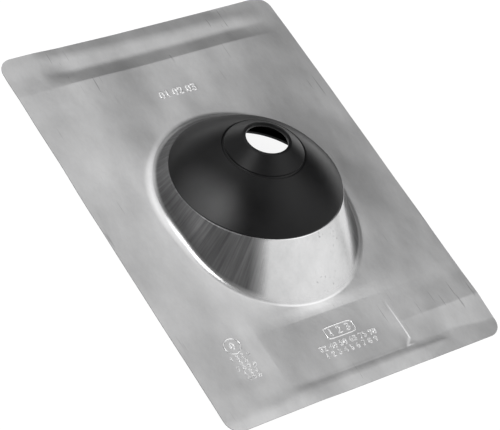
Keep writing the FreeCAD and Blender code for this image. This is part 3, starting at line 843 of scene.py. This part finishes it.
# light bounces off a pale floor, but the camera and mirror rays see a nearly white one with a weak shadow
bounced = add_node(tree, "ShaderNodeBsdfDiffuse")
bounced.inputs["Color"].default_value = FLOOR_COLOUR
shaded = add_node(tree, "ShaderNodeBsdfDiffuse")
shaded.inputs["Color"].default_value = SHADE_COLOUR
lit = add_node(tree, "ShaderNodeEmission")
lit.inputs["Strength"].default_value = SEEN_LEVEL
seen = add_node(tree, "ShaderNodeAddShader")
wire(tree, shaded.outputs["BSDF"], seen.inputs[0])
wire(tree, lit.outputs["Emission"], seen.inputs[1])
path = add_node(tree, "ShaderNodeLightPath")
looked_at = combine(tree, "MAXIMUM", path.outputs["Is Camera Ray"], path.outputs["Is Glossy Ray"])
looked_at = combine(tree, "MAXIMUM", looked_at, path.outputs["Is Transmission Ray"])
either = add_node(tree, "ShaderNodeMixShader")
wire(tree, looked_at, either.inputs["Fac"])
wire(tree, bounced.outputs["BSDF"], either.inputs[1])
wire(tree, seen.outputs["Shader"], either.inputs[2])
wire(tree, either.outputs["Shader"], add_node(tree, "ShaderNodeOutputMaterial").inputs["Surface"])
floor.data.materials.append(floor_paint)

world = bpy.data.worlds.new("tent")
bpy.context.scene.world = world
world.use_nodes = True
tree = world.node_tree
tree.nodes.clear()


def patch(round_about, up, inner, outer):
    """1 for rays within inner degrees of a direction, 0 past outer degrees, smooth between. The direction
    is round_about degrees from +X towards +Y and up degrees above the floor."""
    round_about, up = math.radians(round_about), math.radians(up)
    inner, outer = math.radians(inner), math.radians(outer)
    dot = add_node(tree, "ShaderNodeVectorMath", operation="DOT_PRODUCT")
    wire(tree, add_node(tree, "ShaderNodeTexCoord").outputs["Generated"], dot.inputs[0])
    dot.inputs[1].default_value = (math.cos(up) * math.cos(round_about),
                                   math.cos(up) * math.sin(round_about), math.sin(up))
    return remap(tree, dot.outputs["Value"], (math.cos(outer), math.cos(inner)), smooth=True)


TENT_LEVEL = 1.0
DARK_PATCHES = [(-165.0, 56.0, 35.0, 40.0, 0.68), (32.0, 8.0, 28.0, 52.0, 0.90),
                (80.0, 2.0, 12.0, 36.0, 0.60), (180.0, 5.0, 34.0, 50.0, 0.65),
                (142.0, 14.0, 16.0, 28.0, 0.50)]
BRIGHT_PATCHES = [(128.0, 56.0, 12.0, 26.0, 0.70), (171.0, 51.0, 8.0, 17.0, 6.40),
                  (-62.0, 30.0, 24.0, 60.0, 0.30), (-25.0, 58.0, 8.0, 22.0, 1.00),
                  (74.0, 51.0, 10.0, 34.0, 0.46)]

level = TENT_LEVEL
for *place, share in DARK_PATCHES:
    shade = combine(tree, "MULTIPLY", patch(*place), share)
    level = combine(tree, "MULTIPLY", level, combine(tree, "SUBTRACT", 1.0, shade))
for *place, more in BRIGHT_PATCHES:
    glow = combine(tree, "MULTIPLY", patch(*place), more)
    level = combine(tree, "ADD", level, glow)
tent = add_node(tree, "ShaderNodeBackground")
wire(tree, level, tent.inputs["Strength"])
wire(tree, tent.outputs["Background"], add_node(tree, "ShaderNodeOutputWorld").inputs["Surface"])

# ---------------------------------------------------------------------------------------------------------
# The camera: a long lens that looks down on the boot from its front left, and is itself turned about the
# line it looks along by about 27 degrees.
# ---------------------------------------------------------------------------------------------------------

AIM = Vector((-0.0082, -0.0135, 0.0018))
LOOK_ROUND = math.radians(36.577)
LOOK_DOWN = math.radians(47.81)
CAMERA_TILT = math.radians(27.11)
CAMERA_DISTANCE = 1.5687
looking = Vector((math.cos(LOOK_DOWN) * math.cos(LOOK_ROUND),
                  math.cos(LOOK_DOWN) * math.sin(LOOK_ROUND), -math.sin(LOOK_DOWN)))
lens = bpy.data.cameras.new("camera")
lens.lens = 163.0
lens.sensor_width = 36.0
lens.clip_end = 30.0
camera = bpy.data.objects.new("camera", lens)
bpy.context.scene.collection.objects.link(camera)
turned = looking.to_track_quat("-Z", "Y").to_matrix() @ Matrix.Rotation(CAMERA_TILT, 3, "Z")
camera.matrix_world = Matrix.Translation(AIM - looking * CAMERA_DISTANCE) @ turned.to_4x4()
bpy.context.scene.camera = camera
bpy.context.scene.view_settings.view_transform = "Standard"
